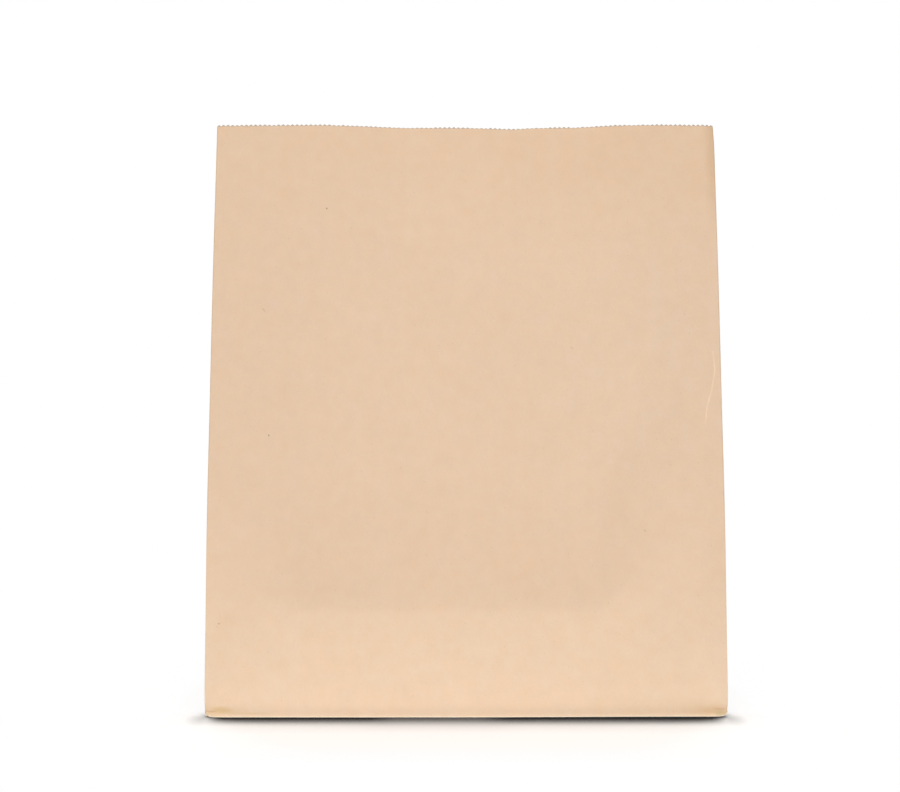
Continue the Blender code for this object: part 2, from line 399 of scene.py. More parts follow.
    def edge_rise(self, u: np.ndarray, v: np.ndarray) -> np.ndarray:
        """How far the bottom edge is off the floor.

        Args:
            u: Places round the tube.
            v: Places up the tube.

        Returns:
            The rise, at the corners and along the front's right end, fading upwards.
        """
        u = np.mod(u, self.girth)
        corner = self.corner_rise * self.corner_share(u) ** 2 * np.exp(-((v / self.corner_height) ** 2))
        along = smooth_step((u / self.face_width - self.edge_start) / self.edge_length)
        past = smooth_step((u - self.folds[1]) / self.half_gusset)
        return corner + self.edge_lift * along * (1 - past) * np.exp(-((v / self.edge_height) ** 2))

    def lip(self, u: np.ndarray, v: np.ndarray) -> np.ndarray:
        """How far the wall lies behind the bottom fold's pressed lip, which is taller at the corners.

        Args:
            u: Places round the tube.
            v: Places up the tube.

        Returns:
            The depth, 0 on the lip itself and far above it.
        """
        corner = np.exp(-((self.fold_distance(u) / self.lip_corner_reach) ** 2))
        height = self.lip_height + self.lip_corner * corner
        rise = smooth_step(v / height)
        fall = np.clip(1 - (v - height) / self.lip_reach, 0, 1) ** 1.5
        depth = self.lip_depth * (1 + self.lip_corner_gain * corner)
        return depth * rise * np.where(v < height, 1.0, fall)

    def fold_distance(self, u: np.ndarray) -> np.ndarray:
        """The distance from each place to the nearest side fold, round the tube."""
        return np.min([np.abs(np.mod(u, self.girth) - fold) for fold in self.folds], axis=0)

    def corner_share(self, u: np.ndarray) -> np.ndarray:
        """How near u is to a side fold, 1 at the fold and 0 a few corner reaches away."""
        return np.exp(-((self.fold_distance(u) / self.corner_reach) ** 2))

    def place(self, u: np.ndarray, v: np.ndarray) -> np.ndarray:
        """Places on the bag with folds rounded as paper folds are, and blunt bottom corners.

        Args:
            u: Places round the tube.
            v: Places up the tube.

        Returns:
            An array of points.
        """
        low = np.exp(-np.abs(v) / self.bottom_fade)
        near = self.corner_share(u)
        crease_height = self.crease_height(np.mod(u, self.girth) - self.half_width)
        crease = np.exp(-(((v - crease_height) / self.crease_band) ** 2))
        crease = crease * smooth_step(self.fold_distance(u) / self.crease_clear)
        crease = crease * (1 + (crease_height - self.half_gusset) / self.crease_growth)
        round_u = self.fold_radius + (self.corner_radius - self.fold_radius) * low * near
        round_v = self.fold_radius + (self.bottom_radius - self.fold_radius) * low
        round_v = round_v + (self.corner_radius - self.bottom_radius) * low * near
        round_v = round_v + self.fold_softness * crease * (np.mod(u, self.girth) < self.folds[1])
        offsets = np.array([-1.0, -0.6, -0.2, 0.2, 0.6, 1.0])
        total = 0.0
        for du in offsets:
            for dv in offsets:
                total = total + self.sharp(u + du * round_u, v + dv * round_v)
        made = total / len(offsets) ** 2
        made[..., 2] += self.edge_rise(u, v)
        return made


class Graph:
    """Adds nodes to a node tree and links them."""

    def __init__(self, tree: bpy.types.NodeTree) -> None:
        """Work on a tree."""
        self.tree = tree

    def feed(self, socket: bpy.types.NodeSocket, value: object) -> None:
        """Link a socket to another one, or give it a plain value.

        Args:
            socket: The input to feed.
            value: Another node's output, or a number, colour, name or datablock.
        """
        if isinstance(value, bpy.types.NodeSocket):
            self.tree.links.new(value, socket)
        else:
            socket.default_value = value

    def add(
        self, kind: str, inputs: dict[str | int, object] | None = None, **settings: object
    ) -> bpy.types.Node:
        """Add a node.

        Args:
            kind: The node's type name.
            inputs: What each of its inputs is fed, by name or number.
            **settings: The node's own properties.

        Returns:
            The node.
        """
        node = self.tree.nodes.new(kind)
        for name, value in settings.items():
            setattr(node, name, value)
        for key, value in (inputs or {}).items():
            self.feed(node.inputs[key], value)
        return node

    def math(self, operation: str, *values: object) -> bpy.types.NodeSocket:
        """Add a Math node fed with the values, and return its result."""
        return self.add("ShaderNodeMath", dict(enumerate(values)), operation=operation).outputs[0]

    def vector(self, operation: str, *values: object) -> bpy.types.NodeSocket:
        """Add a Vector Math node fed with the values, and return its vector."""
        return self.add("ShaderNodeVectorMath", dict(enumerate(values)), operation=operation).outputs[0]

    def measure(self, operation: str, *values: object) -> bpy.types.NodeSocket:
        """Add a Vector Math node that gives a number, such as a length, and return the number."""
        node = self.add("ShaderNodeVectorMath", dict(enumerate(values)), operation=operation)
        return node.outputs["Value"]

    def scale(self, vector: object, factor: object) -> bpy.types.NodeSocket:
        """Add a vector times a number, and return it."""
        return self.add("ShaderNodeVectorMath", {0: vector, "Scale": factor}, operation="SCALE").outputs[0]

    def part(self, vector: object, axis: str) -> bpy.types.NodeSocket:
        """Add the part of a vector along X, Y or Z, and return it."""
        return self.add("ShaderNodeSeparateXYZ", {0: vector}).outputs[axis]

    def point(self, *values: object) -> bpy.types.NodeSocket:
        """Add a vector made of up to three numbers, and return it."""
        return self.add("ShaderNodeCombineXYZ", dict(enumerate(values))).outputs[0]

    def grey(self, tone: object) -> bpy.types.NodeSocket:
        """Add a grey of the given tone, and return it."""
        return self.add("ShaderNodeCombineColor", {0: tone, 1: tone, 2: tone}).outputs[0]

    def gap(self, first: object, second: object) -> bpy.types.NodeSocket:
        """Add how far apart two numbers are, and return it."""
        return self.math("ABSOLUTE", self.math("SUBTRACT", first, second))

    def ramp(
        self, value: object, low: float, high: float, start: float = 0.0, end: float = 1.0
    ) -> bpy.types.NodeSocket:
        """Map a value from low..high smoothly to start..end, and return the result."""
        inputs = {"Value": value, "From Min": low, "From Max": high, "To Min": start, "To Max": end}
        return self.add("ShaderNodeMapRange", inputs, interpolation_type="SMOOTHSTEP").outputs["Result"]

    def fall(self, value: object, low: float, high: float) -> bpy.types.NodeSocket:
        """Map a value from low..high smoothly to 1..0, and return the result."""
        return self.ramp(value, low, high, 1.0, 0.0)

    def blend(self, share: object, first: object, second: object) -> bpy.types.NodeSocket:
        """Mix two colours.

        Args:
            share: The share of the second colour.
            first: The first colour.
            second: The second colour.

        Returns:
            The mix.
        """
        node = self.add("ShaderNodeMix", data_type="RGBA", clamp_factor=True)
        for number, value in ((0, share), (6, first), (7, second)):
            self.feed(node.inputs[number], value)
        return node.outputs[2]

    def shaded(self, tone: object, share: object, change: object) -> bpy.types.NodeSocket:
        """Change a tone by a part of itself, in full where the share is 1, and return it."""
        factor = self.math("MULTIPLY_ADD", share, change, 1.0)
        return self.math("MULTIPLY", tone, factor)

    def stained(self, colour: object, share: object, tint: tuple[float, ...]) -> bpy.types.NodeSocket:
        """Multiply a colour by a tint, in full where the share is 1, and return it."""
        return self.blend(share, colour, self.vector("MULTIPLY", colour, tint))

    def seen(self) -> bpy.types.NodeSocket:
        """Add 1 for what the camera sees, straight, mirrored or through glass, and 0 for other rays.

        Returns:
            The share.
        """
        path = self.add("ShaderNodeLightPath").outputs
        bent = self.math("MAXIMUM", path["Is Glossy Ray"], path["Is Transmission Ray"])
        return self.math("MAXIMUM", path["Is Camera Ray"], bent)

    def attribute(self, name: str, kind: str) -> bpy.types.NodeSocket:
        """Add one of the mesh's named attributes, and return its value."""
        return self.add("GeometryNodeInputNamedAttribute", {"Name": name}, data_type=kind).outputs[0]


@dataclass(frozen=True)
class Mark:
    """A speck, a crease, a soft stain or a patch of painted shade on the front face, in the paper's
    millimetres.

    u and v are its place, along and across its half sizes, turn its angle, and tint what its colour is
    multiplied by. The tint is full within core times the half sizes and gone past edge times them.
    """

    u: float
    v: float
    along: float
    across: float
    turn: float
    tint: tuple[float, float, float]
    core: float = 0.6
    edge: float = 1.3

    def mask(self, graph: Graph, place: object) -> bpy.types.NodeSocket:
        """Add the share of the mark's tint.

        Args:
            graph: The material's nodes.
            place: The place on the paper, in millimetres.

        Returns:
            The share at each place.
        """
        offset = graph.vector("SUBTRACT", place, (self.u, self.v, 0.0))
        inputs = {"Vector": offset, "Rotation": (0.0, 0.0, self.turn)}
        turned = graph.add("ShaderNodeMapping", inputs).outputs["Vector"]
        shaped = graph.vector("DIVIDE", turned, (self.along, self.across, 1.0))
        return graph.fall(graph.measure("LENGTH", shaped), self.core, self.edge)


@dataclass(frozen=True)
class Grain:
    """One scale of the paper's unevenness, in the paper's millimetres.

    size is its width and height, detail and roughness its finer layers, depth how far it moves the tone or
    the hue, and shift where its noise is read, so that two grains of one size differ.
    """

    size: tuple[float, float]
    detail: float
    depth: float = 0.0
    shift: tuple[float, float] = (0.0, 0.0)
    roughness: float = 0.55

    def noise(self, graph: Graph, place: object) -> bpy.types.NodeSocket:
        """Add the grain's noise.

        Args:
            graph: The material's nodes.
            place: The place on the paper, in millimetres.

        Returns:
            The noise, about 0 and within 0.5.
        """
        moved = graph.vector("ADD", place, (*self.shift, 0.0))
        stretched = graph.vector("DIVIDE", moved, (*self.size, 1.0))
        inputs = {"Vector": stretched, "Scale": 1.0, "Detail": self.detail, "Roughness": self.roughness}
        value = graph.add("ShaderNodeTexNoise", inputs, noise_dimensions="2D").outputs["Fac"]
        return graph.math("SUBTRACT", value, 0.5)

    def add_to(self, graph: Graph, total: object, noise: object) -> bpy.types.NodeSocket:
        """Add the grain's noise, times its depth, to a total that lies about a middle, and return it."""
        return graph.math("MULTIPLY_ADD", noise, self.depth * 2, total)


@dataclass(frozen=True)
class SheetNodes:
    """What every pattern on the paper starts from, in the paper's millimetres.

    place is u and v in one vector, tilted the same turned for the crossing fibres, fold the distance to
    the nearest long fold, and broken a patchy share that breaks up the painted lines along the folds and the
    scratch.
    """

    place: bpy.types.NodeSocket
    tilted: bpy.types.NodeSocket
    u: bpy.types.NodeSocket
    v: bpy.types.NodeSocket
    fold: bpy.types.NodeSocket
    broken: bpy.types.NodeSocket


@dataclass(frozen=True)
class KraftFinish:
    """Smooth unbleached kraft paper, lightly used, with light and shade painted along its folds, rim, teeth,
    bottom corners and top right.

    Colours are linear. Lengths are in millimetres of paper, because the pattern follows the sheet. A span,
    rise, fall, reach, start or edge of two numbers is the places between which a change happens.
    """

    colour: tuple[float, float, float] = (0.80, 0.580, 0.407)
    foot_tint: tuple[float, float, float] = (1.0, 1.022, 1.026)
    foot_span: tuple[float, float] = (30.0, 100.0)
    head_tint: tuple[float, float, float] = (0.998, 0.988, 0.968)
    head_span: tuple[float, float] = (285.0, 365.0)
    roughness: float = 0.82
    roughness_stray: float = 0.12
    specular: float = 0.28
    bump_height: float = 0.035
    cross_share: float = 0.7
    green_share: float = 0.35

    # The paper's own grain, in tone and in warmth
    tilt: float = 0.9
    cloud: Grain = Grain((30.0, 30.0), 3.0, 0.020)
    mottle: Grain = Grain((9.0, 9.0), 2.0, 0.025)
    flock: Grain = Grain((1.7, 1.7), 1.0, 0.015)
    fibre: Grain = Grain((0.34, 3.2), 2.0, 0.019)
    cross_fibre: Grain = Grain((0.34, 2.56), 2.0, 0.0133)
    speckle: Grain = Grain((0.45, 0.45), 1.0, 0.008)
    warm_grains: tuple[Grain, ...] = (
        Grain((9.0, 9.0), 2.0, 0.070, (400.0, 90.0)),
        Grain((1.7, 1.7), 1.0, 0.012, (70.0, 500.0)),
        Grain((30.0, 30.0), 2.0, 0.034, (900.0, 40.0)),
    )

    # Slivers of bark and pale straws, each in some of the cells of a pattern
    shive_spacing: tuple[float, float] = (8.0, 13.0)
    shive_size: float = 0.040
    shive_shade: float = 0.84
    straw_spacing: tuple[float, float] = (15.0, 7.0)
    straw_size: float = 0.036
    straw_shade: float = 1.07
    fleck_core: float = 0.4
    fleck_chance: tuple[float, float] = (0.35, 1.0)

    # Painted light and shade on the long folds, painted shade above the lip and on the teeth, a dark line
    # beside the seam, and a painted highlight on the rim
    line_break_grain: Grain = Grain((2.0, 9.0), 3.0)
    patch_noise: tuple[float, float] = (-0.12, 0.12)
    line_break_least: float = 0.4
    fold_line_start: tuple[float, float] = (-0.5, 2.0)
    fold_light_and_shade: tuple[float, float] = (1.06, 0.79)
    fold_span: tuple[float, float] = (70.0, 170.0)
    fold_width: float = 1.5
    groove_painted_shade: float = 0.935
    groove_rise: tuple[float, float] = (0.3, 1.1)
    groove_fall: tuple[float, float] = (2.6, 9.0)
    seam_shade: float = 0.93
    seam_edge: tuple[float, float] = (0.15, 0.55)
    # Painted shade on the teeth, which are made greyer and darker
    tooth_painted_shade: tuple[float, float, float] = (0.71, 0.77, 0.87)
    tooth_edge: float = 0.3
    # Painted highlight along the bottom rim
    rim_painted_highlight: tuple[float, float, float] = (1.25, 1.45, 1.60)
    rim_middle: float = -0.6
    rim_edge: tuple[float, float] = (0.9, 1.4)

    # Painted shade at the bottom's corners, and at the top right where the face curls back
    corner_painted_shade: tuple[float, float, float] = (0.95, 0.915, 0.82)
    corner_shade_grain: Grain = Grain((16.0, 6.0), 2.0)
    corner_shade_noise: tuple[float, float] = (-0.2, 0.15)
    corner_shade_least: float = 0.4
    corner_shade_reach: tuple[float, float] = (5.0, 34.0)
    corner_shade_rise: tuple[float, float] = (0.9, 2.2)
    corner_shade_fall: tuple[float, float] = (3.5, 8.5)
    curl_shade: tuple[float, float, float] = (0.905, 0.875, 0.80)
    curl_shade_reach: tuple[float, float] = (1.0, 8.5)
    curl_shade_span: tuple[float, float] = (300.0, 350.0)

    marks: tuple[Mark, ...] = (
        # Specks and short creases
        Mark(71.6, 318.8, 0.55, 0.45, 0.3, (0.50, 0.50, 0.52)),
        Mark(37.4, 172.9, 0.65, 0.42, 1.1, (0.55, 0.55, 0.56)),
        Mark(32.9, 252.9, 1.5, 0.32, 0.9, (0.80, 0.80, 0.82)),
        Mark(8.5, 56.5, 0.6, 0.5, 0.0, (0.68, 0.68, 0.68)),
        Mark(270.7, 113.6, 0.7, 0.45, 0.4, (0.80, 0.80, 0.80)),
        Mark(226.6, 228.5, 1.3, 0.30, 0.5, (0.80, 0.80, 0.80)),
        Mark(297.6, 250.3, 0.7, 0.40, 0.9, (0.86, 0.86, 0.86)),
        Mark(300.4, 237.9, 0.5, 0.40, 0.2, (0.86, 0.86, 0.86)),
        Mark(154.0, 72.9, 0.9, 0.35, 0.8, (1.05, 1.05, 1.05)),
        Mark(284.0, 176.0, 1.1, 0.35, 0.6, (1.04, 1.04, 1.05)),
        # Painted shade in small creases at the bottom corners and just above the bottom edge of the right
        # half, and a yellowish line near the left corner
        Mark(3.6, 3.3, 4.2, 0.55, -0.08, (0.85, 0.81, 0.79)),
        Mark(315.5, 4.4, 4.6, 1.1, 0.12, (0.925, 0.88, 0.87), 0.3),
        Mark(11.0, 4.6, 6.8, 2.2, 0.05, (0.945, 0.93, 0.80), 0.2),
        Mark(28.0, 2.4, 18.0, 0.9, 0.0, (0.97, 0.96, 0.88), 0.2),
        Mark(315.5, 2.1, 4.6, 1.7, 0.0, (0.84, 0.86, 0.74), 0.3),
        Mark(306.0, 5.0, 17.0, 5.5, 0.1, (0.955, 0.94, 0.91), 0.1),
        Mark(270.0, 4.0, 66.0, 10.0, 0.0, (0.968, 0.968, 0.955), 0.1),
        # Broad, faint differences in tone
        Mark(262.0, 16.0, 68.0, 32.0, 0.0, (0.984, 0.983, 0.980), 0.0),
        Mark(242.0, 352.0, 95.0, 42.0, 0.0, (0.990, 0.982, 0.966), 0.0),
        Mark(8.0, 76.0, 28.0, 64.0, 0.0, (1.020, 1.018, 1.016), 0.0),
        Mark(276.0, 104.0, 50.0, 52.0, 0.0, (1.012, 1.012, 1.012), 0.0),
        Mark(165.0, 102.0, 150.0, 30.0, 0.0, (1.012, 1.012, 1.012), 0.0),
        Mark(265.0, 195.0, 30.0, 46.0, 0.0, (1.014, 1.014, 1.014), 0.0),
        Mark(268.0, 205.0, 85.0, 130.0, 0.0, (1.004, 1.016, 1.026), 0.0),
    )
    scratch: tuple[tuple[float, float], ...] = (
        (314.8, 226.4),
        (315.8, 214.3),
        (313.5, 201.7),
        (310.4, 191.6),
        (308.9, 180.3),
    )
    scratch_width: float = 0.70
    scratch_core: float = 0.3
    scratch_shade: float = 1.16

    def sheet_nodes(self, graph: Graph, fold_map: FoldMap, base: float) -> SheetNodes:
        """Add the nodes that turn the paper map into places on the paper.

        Args:
            graph: The material's nodes.
            fold_map: The bag's folds.
            base: How far the map is moved up to hold the bottom, in metres.

        Returns:
            What the patterns start from.
        """
        found = graph.add("ShaderNodeUVMap", uv_map=PAPER_MAP).outputs["UV"]
        scaled = graph.scale(found, fold_map.girth / MM)
        place = graph.vector("SUBTRACT", scaled, (0.0, base / MM, 0.0))
        inputs = {"Vector": place, "Rotation": (0.0, 0.0, self.tilt)}
        tilted = graph.add("ShaderNodeMapping", inputs).outputs["Vector"]
        u, v = graph.part(place, "X"), graph.part(place, "Y")
        fold: object = FAR_AWAY
        for line in (*fold_map.folds, *fold_map.centres):
            fold = graph.math("MINIMUM", fold, graph.gap(u, line / MM))
        line_breaks = self.line_break_grain.noise(graph, place)
        broken = graph.ramp(line_breaks, *self.patch_noise, self.line_break_least, 1.0)
        return SheetNodes(place, tilted, u, v, fold, broken)

    def scratch_mask(self, graph: Graph, place: object) -> bpy.types.NodeSocket:
        """Add the share of the scratch, from the distance to its line.

        Args:
            graph: The material's nodes.
            place: The place on the paper, in millimetres.

        Returns:
            The share at each place.
        """
        nearest: object = FAR_AWAY
        for start, end in zip(self.scratch, self.scratch[1:]):
            run = Vector((end[0] - start[0], end[1] - start[1], 0.0))
            offset = graph.vector("SUBTRACT", place, (*start, 0.0))
            reach = graph.measure("DOT_PRODUCT", offset, run / run.length_squared)
            share = graph.add("ShaderNodeClamp", {"Value": reach}).outputs[0]
            away = graph.measure("DISTANCE", offset, graph.scale(tuple(run), share))
            nearest = graph.math("MINIMUM", nearest, away)
        return graph.fall(nearest, self.scratch_core * self.scratch_width, self.scratch_width)

    def flecks(
        self, graph: Graph, place: object, spacing: tuple[float, float], size: float
    ) -> bpy.types.NodeSocket:
        """Add small flecks, one in some of the cells of a Voronoi pattern.

        Args:
            graph: The material's nodes.
            place: The place on the paper, in millimetres.
            spacing: The cells' width and height.
            size: A fleck's radius as a share of its cell.

        Returns:
            The share of a fleck at each place.
        """
        stretched = graph.vector("DIVIDE", place, (*spacing, 1.0))
        inputs = {"Vector": stretched, "Scale": 1.0}
        cells = graph.add("ShaderNodeTexVoronoi", inputs, voronoi_dimensions="2D").outputs
        fleck = graph.fall(cells["Distance"], self.fleck_core * size, size)
        chance = graph.part(cells["Color"], "X")
        return graph.math("MULTIPLY", fleck, graph.ramp(chance, *self.fleck_chance))

    def lined(self, graph: Graph, sheet: SheetNodes, fold_map: FoldMap, tone: object) -> bpy.types.NodeSocket:
        """Paint light and shade along the folds and shade in the groove above the lip, and add the seam's
        line, the flecks and the scratch.

        Args:
            graph: The material's nodes.
            sheet: What the patterns start from.
            fold_map: The bag's folds.
            tone: The paper's tone so far.

        Returns:
            The tone with all of them.
        """
        # Painted light and shade along the long folds: paler low down, darker high up
        long_fold = graph.fall(sheet.fold, 0.0, self.fold_width)
        wear_and_fold_light = graph.math("MULTIPLY", long_fold, graph.ramp(sheet.v, *self.fold_line_start))
        wear_and_fold_light = graph.math("MULTIPLY", wear_and_fold_light, sheet.broken)
        low, high = self.fold_light_and_shade
        tone = graph.shaded(tone, wear_and_fold_light, graph.ramp(sheet.v, *self.fold_span, low - 1, high - 1))
        # Painted shade in the groove just above the pressed lip
        groove = graph.math(
            "MULTIPLY", graph.ramp(sheet.v, *self.groove_rise), graph.fall(sheet.v, *self.groove_fall)
        )
        seam = (fold_map.folds[2] + fold_map.seam_place) / MM
        for share, shade in (
            (groove, self.groove_painted_shade),
            (graph.fall(graph.gap(sheet.u, seam), *self.seam_edge), self.seam_shade),
            (self.flecks(graph, sheet.place, self.shive_spacing, self.shive_size), self.shive_shade),
            (self.flecks(graph, sheet.tilted, self.straw_spacing, self.straw_size), self.straw_shade),
            (graph.math("MULTIPLY", self.scratch_mask(graph, sheet.place), sheet.broken), self.scratch_shade),
        ):
            tone = graph.shaded(tone, share, shade - 1)
        return tone

    def tinted_and_shaded(
        self, graph: Graph, sheet: SheetNodes, fold_map: FoldMap, colour: object
    ) -> bpy.types.NodeSocket:
        """Tint the paper towards its foot and head, add its marks, and paint shade at the bottom's corners,
        at the top right and on its cut teeth and a highlight along its rim.

        Args:
            graph: The material's nodes.
            sheet: What the patterns start from.
            fold_map: The bag's folds.
            colour: The clean paper's colour.

        Returns:
            The paper's colour with its tints, marks, painted shade and painted highlight.
        """
        v = sheet.v
        # Painted shade in a patchy band just above the bottom, near the long folds
        corner_noise = self.corner_shade_grain.noise(graph, sheet.place)
        patch = graph.ramp(corner_noise, *self.corner_shade_noise, self.corner_shade_least, 1.0)
        band = graph.math("MULTIPLY", graph.ramp(v, *self.corner_shade_rise), graph.fall(v, *self.corner_shade_fall))
        corner_shaded = graph.math("MULTIPLY", band, graph.fall(sheet.fold, *self.corner_shade_reach))
        # Painted shade at the top of the front's right fold, where the face curls back
        from_fold = graph.gap(sheet.u, fold_map.folds[1] / MM)
        curl_shade = graph.math(
            "MULTIPLY", graph.fall(from_fold, *self.curl_shade_reach), graph.ramp(v, *self.curl_shade_span)
        )
        root = (fold_map.face_height - ToothedMouth.tooth_depth) / MM
        for share, tint in (
            (graph.fall(v, *self.foot_span), self.foot_tint),
            (graph.ramp(v, *self.head_span), self.head_tint),
            # Painted shade near the bottom's corners
            (graph.math("MULTIPLY", corner_shaded, patch), self.corner_painted_shade),
            # Painted shade at the top right, where the face curls back
            (curl_shade, self.curl_shade),
            # Painted highlight along the bottom rim
            (graph.fall(graph.gap(v, self.rim_middle), *self.rim_edge), self.rim_painted_highlight),
            *((mark.mask(graph, sheet.place), mark.tint) for mark in self.marks),
            # Painted shade on the cut teeth
            (graph.ramp(v, root - self.tooth_edge, root), self.tooth_painted_shade),
        ):
            colour = graph.stained(colour, share, tint)
        return colour

    def material(self, name: str, fold_map: FoldMap, base: float) -> bpy.types.Material:
        """Make the paper's material.

        Args:
            name: The material's name.
            fold_map: The bag's folds, along which light and shade are painted: paler than the sheet low down
                and darker high up.
            base: How far the paper map is moved up, in metres.

        Returns:
            The material.
        """
        made = bpy.data.materials.new(name)
        made.use_nodes = True
        graph = Graph(made.node_tree)
        shader = made.node_tree.nodes["Principled BSDF"]
        sheet = self.sheet_nodes(graph, fold_map, base)
        tone: object = 1.0
        noises = []
        for grain in (self.cloud, self.mottle, self.flock, self.fibre, self.cross_fibre, self.speckle):
            place = sheet.tilted if grain is self.cross_fibre else sheet.place
            noises.append(grain.noise(graph, place))
            tone = grain.add_to(graph, tone, noises[-1])
        tone = self.lined(graph, sheet, fold_map, tone)
        warmth: object = 0.0
        for grain in self.warm_grains:
            warmth = grain.add_to(graph, warmth, grain.noise(graph, sheet.place))
        green = graph.math("MULTIPLY_ADD", warmth, self.green_share, 1.0)
        tint = graph.point(1.0, green, graph.math("ADD", warmth, 1.0))
        clean = graph.scale(graph.vector("MULTIPLY", tint, self.colour), tone)
        graph.feed(shader.inputs["Base Color"], self.tinted_and_shaded(graph, sheet, fold_map, clean))

        cloud, _, _, fibre, cross_fibre, speckle = noises
        relief = graph.math("ADD", fibre, graph.math("MULTIPLY_ADD", cross_fibre, self.cross_share, speckle))
        inputs = {"Height": relief, "Distance": self.bump_height * MM, "Strength": 1.0}
        graph.feed(shader.inputs["Normal"], graph.add("ShaderNodeBump", inputs).outputs["Normal"])
        rough = graph.math("MULTIPLY_ADD", cloud, self.roughness_stray, self.roughness)
        graph.feed(shader.inputs["Roughness"], rough)
        shader.inputs["Specular IOR Level"].default_value = self.specular
        return made


@dataclass(frozen=True)
class ToothedMouth:
    """The Geometry Nodes tree that ripples the sheet and cuts the mouth into teeth."""

    tooth_depth: float = 1.1 * MM
    wave_height: float = 0.55 * MM
    wave_size: float = 120 * MM
    cockle_height: float = 0.055 * MM
    cockle_size: float = 24 * MM
    tooth_wear: float = 14 * MM
    seed: float = 7.0
    cockle_shift: float = 5.0
    noise_gain: float = 4.0
    worn_depth: float = 0.25
    patch_noise: tuple[float, float] = (0.34, 0.56)
    weld: float = 0.04 * MM

    @property
    def sizes(self) -> dict[str, float]:
        """The tree's number inputs, by name.

        Returns:
            Their values.
        """
        return {
            "Tooth Depth": self.tooth_depth,
            "Wave Height": self.wave_height,
            "Wave Size": self.wave_size,
            "Cockle Height": self.cockle_height,
            "Cockle Size": self.cockle_size,
            "Tooth Wear": self.tooth_wear,
            "Seed": self.seed,
        }

    def tree(self) -> bpy.types.NodeTree:
        """Build the tree, with named inputs for its sizes.

        Returns:
            The tree.
        """
        made = bpy.data.node_groups.new("Toothed mouth", "GeometryNodeTree")
        made.is_modifier = True
        made.interface.new_socket("Geometry", in_out="OUTPUT", socket_type="NodeSocketGeometry")
        made.interface.new_socket("Geometry", in_out="INPUT", socket_type="NodeSocketGeometry")
        for name in self.sizes:
            made.interface.new_socket(name, in_out="INPUT", socket_type="NodeSocketFloat")
        made.interface.new_socket("Paper", in_out="INPUT", socket_type="NodeSocketMaterial")
        graph = Graph(made)
        given = graph.add("NodeGroupInput").outputs
        rippled = self.ripple(graph, given)
        toothed = self.teeth(graph, given, rippled)
        smooth = graph.add("GeometryNodeSetShadeSmooth", {"Geometry": toothed}).outputs[0]
        real = graph.add("GeometryNodeRealizeInstances", {"Geometry": smooth}).outputs[0]
        dressed = graph.add("GeometryNodeSetMaterial", {"Geometry": real, "Material": given["Paper"]})
        graph.add("NodeGroupOutput", {"Geometry": dressed.outputs[0]})
        return made

    def ripple(self, graph: Graph, given: Sequence[bpy.types.NodeSocket]) -> bpy.types.NodeSocket:
        """Move the sheet in and out by slow waves and fine cockles, where its folds leave it free.

        Args:
            graph: The tree's nodes.
            given: The tree's inputs.

        Returns:
            The rippled sheet.
        """
        position = graph.add("GeometryNodeInputPosition").outputs[0]
        offset: object = 0.0
        for kind, shift in (("Wave", 0.0), ("Cockle", self.cockle_shift)):
            inputs = {
                "Vector": position,
                "W": graph.math("ADD", given["Seed"], shift),
                "Scale": graph.math("DIVIDE", 1.0, given[f"{kind} Size"]),
                "Detail": 1.0,
            }
            noise = graph.add("ShaderNodeTexNoise", inputs, noise_dimensions="4D").outputs["Fac"]
            centred = graph.math("MULTIPLY", graph.math("SUBTRACT", noise, 0.5), self.noise_gain)
            offset = graph.math("MULTIPLY_ADD", centred, given[f"{kind} Height"], offset)
        normal = graph.add("GeometryNodeInputNormal").outputs[0]
        free = graph.attribute("free", "FLOAT")
        push = graph.scale(normal, graph.math("MULTIPLY", offset, free))
        inputs = {"Geometry": given["Geometry"], "Offset": push}
        return graph.add("GeometryNodeSetPosition", inputs).outputs[0]

    def tooth(self, graph: Graph) -> bpy.types.NodeSocket:
        """Add one tooth: a triangle with a base of 1 along X, centred, and its tip 1 up Y.

        Args:
            graph: The tree's nodes.

        Returns:
            The triangle.
        """
        disc = graph.add("GeometryNodeMeshCircle", {"Vertices": 3}, fill_type="NGON").outputs["Mesh"]
        index = graph.add("GeometryNodeInputIndex").outputs[0]
        base = graph.math("LESS_THAN", index, 1.5)
        x = graph.math("MULTIPLY", graph.math("SUBTRACT", index, 0.5), base)
        corner = graph.point(x, graph.math("SUBTRACT", 1.0, base))
        return graph.add("GeometryNodeSetPosition", {"Geometry": disc, "Position": corner}).outputs[0]

    def teeth(
        self, graph: Graph, given: Sequence[bpy.types.NodeSocket], sheet: bpy.types.NodeSocket
    ) -> bpy.types.NodeSocket:
        """Stand a tooth on each edge along the mouth and weld it to the sheet.

        Args:
            graph: The tree's nodes.
            given: The tree's inputs.
            sheet: The sheet without teeth.

        Returns:
            The sheet with teeth.
        """
        ends = graph.add("GeometryNodeInputMeshEdgeVertices").outputs
        span = graph.vector("SUBTRACT", ends["Position 2"], ends["Position 1"])
        rise = graph.attribute("rise", "FLOAT_VECTOR")
        normal = graph.add("GeometryNodeInputNormal").outputs[0]
        facing = graph.measure("DOT_PRODUCT", span, graph.vector("CROSS_PRODUCT", rise, normal))
        along = graph.scale(span, graph.math("SIGN", facing))
        inputs = {
            "Vector": graph.add("GeometryNodeInputPosition").outputs[0],
            "W": given["Seed"],
            "Scale": graph.math("DIVIDE", 1.0, given["Tooth Wear"]),
            "Detail": 2.0,
        }
        wear_and_fold_light = graph.add("ShaderNodeTexNoise", inputs, noise_dimensions="4D").outputs["Fac"]
        share = graph.ramp(wear_and_fold_light, *self.patch_noise, self.worn_depth, 1.0)
        depth = graph.point(graph.math("MULTIPLY", given["Tooth Depth"], share))
        mapped = graph.attribute(PAPER_MAP, "FLOAT_VECTOR")
        kept = graph.add("GeometryNodeCaptureAttribute", domain="EDGE")
        for name, value in (("Along", along), ("Rise", rise), ("Mapped", mapped), ("Depth", depth)):
            kept.capture_items.new("VECTOR", name)
            graph.feed(kept.inputs[name], value)
        graph.feed(kept.inputs["Geometry"], sheet)
        saved = kept.outputs

